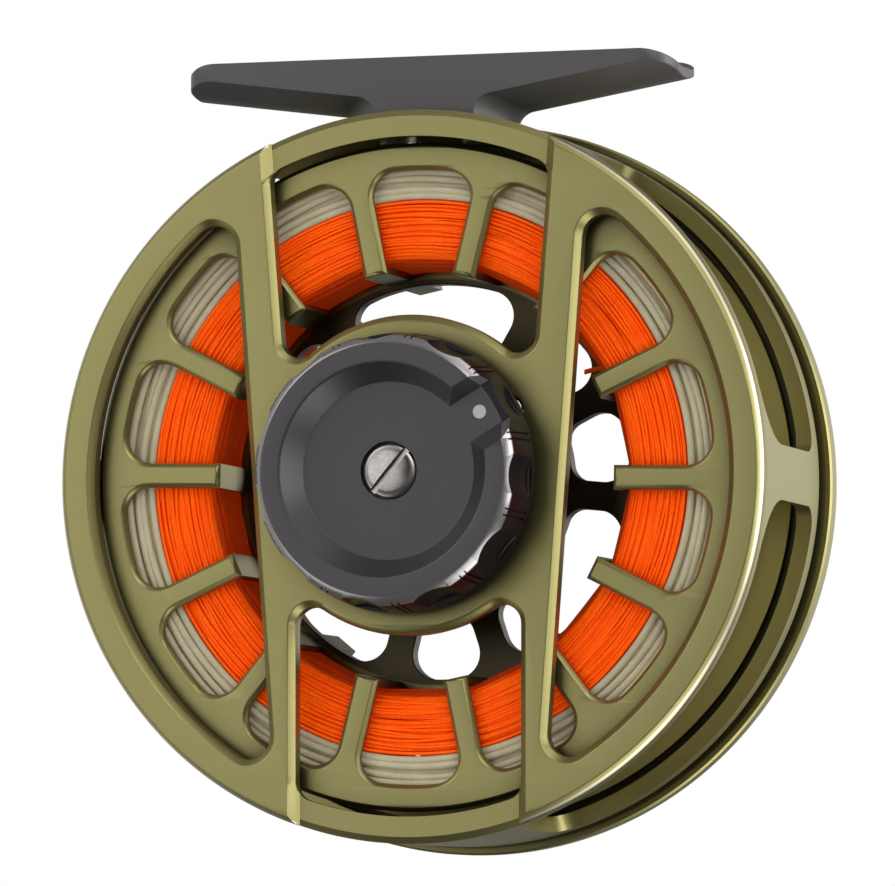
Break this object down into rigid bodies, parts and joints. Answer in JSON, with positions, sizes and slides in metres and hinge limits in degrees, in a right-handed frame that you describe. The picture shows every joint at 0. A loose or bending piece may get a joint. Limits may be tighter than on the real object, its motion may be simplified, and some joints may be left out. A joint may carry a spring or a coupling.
{
  "type": "fly fishing reel",
  "caption": "Large-arbor fly reel: skeletal caged frame with foot and drag knob, spool with windowed flanges, palming rim and handle, filled with orange backing and pale fly line.",
  "frame": {"origin": "middle of the flat along the bottom of the channel on top of the reel foot, where a rod's reel seat bears", "axes": "+Z out of the reel foot towards the rod; Y along the spindle, with the drag knob towards -Y and the handle towards +Y; X along the foot"},
  "size_m": [0.0888, 0.059, 0.095],
  "materials": {
    "olive_anodised": "bead-blasted olive anodised, satin",
    "graphite_anodised": "fine-blasted dark grey anodised",
    "black_anodised": "black anodised",
    "steel": "turned stainless steel",
    "carbon": "matt carbon fibre friction disc",
    "rubber": "black nitrile rubber",
    "brass": "bright cage and balls",
    "grip": "soft black polymer",
    "backing": "braided orange backing",
    "fly_line": "smooth pale grey-green coated line"
  },
  "bodies": {
    "frame_body": {"frame": "olive_anodised", "reel_foot": "graphite_anodised", "foot_screw_1": "steel", "foot_screw_2": "steel", "drag_knob_screw": "steel", "drag_housing": "black_anodised", "housing_screw_1": "steel", "housing_screw_2": "steel", "housing_screw_3": "steel", "spindle": "steel", "spring_washer": "steel", "pressure_plate": "steel", "carbon_disc_1": "carbon", "carbon_disc_2": "carbon", "shaft_seal": "rubber"},
    "knob_body": {"drag_knob": "graphite_anodised"},
    "thrust_body": {"thrust_ring": "steel", "thrust_pin_1": "steel", "thrust_pin_2": "steel", "thrust_pin_3": "steel"},
    "drive_body": {"drag_rotor": "steel", "one_way_clutch": "steel"},
    "spool_body": {"spool": "olive_anodised", "bearing_outer_race": "steel", "handle_post": "steel", "handle_screw": "steel", "counterweight": "graphite_anodised", "counterweight_screw": "steel", "backing": "backing", "fly_line": "fly_line"},
    "inner_race_body": {"bearing_inner_race": "steel"},
    "balls_body": {"bearing_balls": "brass"},
    "cap_body": {"spool_cap": "graphite_anodised"},
    "handle_body": {"handle_knob": "grip"}
  },
  "joints": [
    {"name": "drag_knob_turn", "type": "hinge", "parent": "frame_body", "child": "knob_body", "pos_m": [0, -0.01415, -0.0489], "axis": [0, 1, 0], "range_deg": [-120, 210]},
    {"name": "drag_thrust", "type": "slide", "parent": "frame_body", "child": "thrust_body", "axis": [0, 1, 0], "range_m": [-0.00022, 0.00038]},
    {"name": "spool_spin", "type": "hinge", "parent": "frame_body", "child": "drive_body", "pos_m": [0, 0, -0.0489], "axis": [0, 1, 0], "continuous": true},
    {"name": "spool_lift_off", "type": "slide", "parent": "drive_body", "child": "spool_body", "axis": [0, 1, 0], "range_m": [0, 0.03]},
    {"name": "bearing_inner_spin", "type": "hinge", "parent": "spool_body", "child": "inner_race_body", "pos_m": [0, 0.00995, -0.0489], "axis": [0, 1, 0], "continuous": true},
    {"name": "bearing_cage_spin", "type": "hinge", "parent": "spool_body", "child": "balls_body", "pos_m": [0, 0.00995, -0.0489], "axis": [0, 1, 0], "continuous": true},
    {"name": "spool_cap_turn", "type": "hinge", "parent": "spool_body", "child": "cap_body", "pos_m": [0, 0.0145, -0.0489], "axis": [0, 1, 0], "range_deg": [0, 720]},
    {"name": "handle_spin", "type": "hinge", "parent": "spool_body", "child": "handle_body", "pos_m": [-0.03359, 0.0256, -0.04814], "axis": [0, 1, 0], "continuous": true}
  ],
  "couplings": [
    {"joint": "drag_thrust", "follows": "drag_knob_turn", "m_per_rad": 0.0001},
    {"joint": "bearing_inner_spin", "follows": "spool_spin", "ratio": -1},
    {"joint": "bearing_cage_spin", "follows": "spool_spin", "ratio": -0.39}
  ]
}
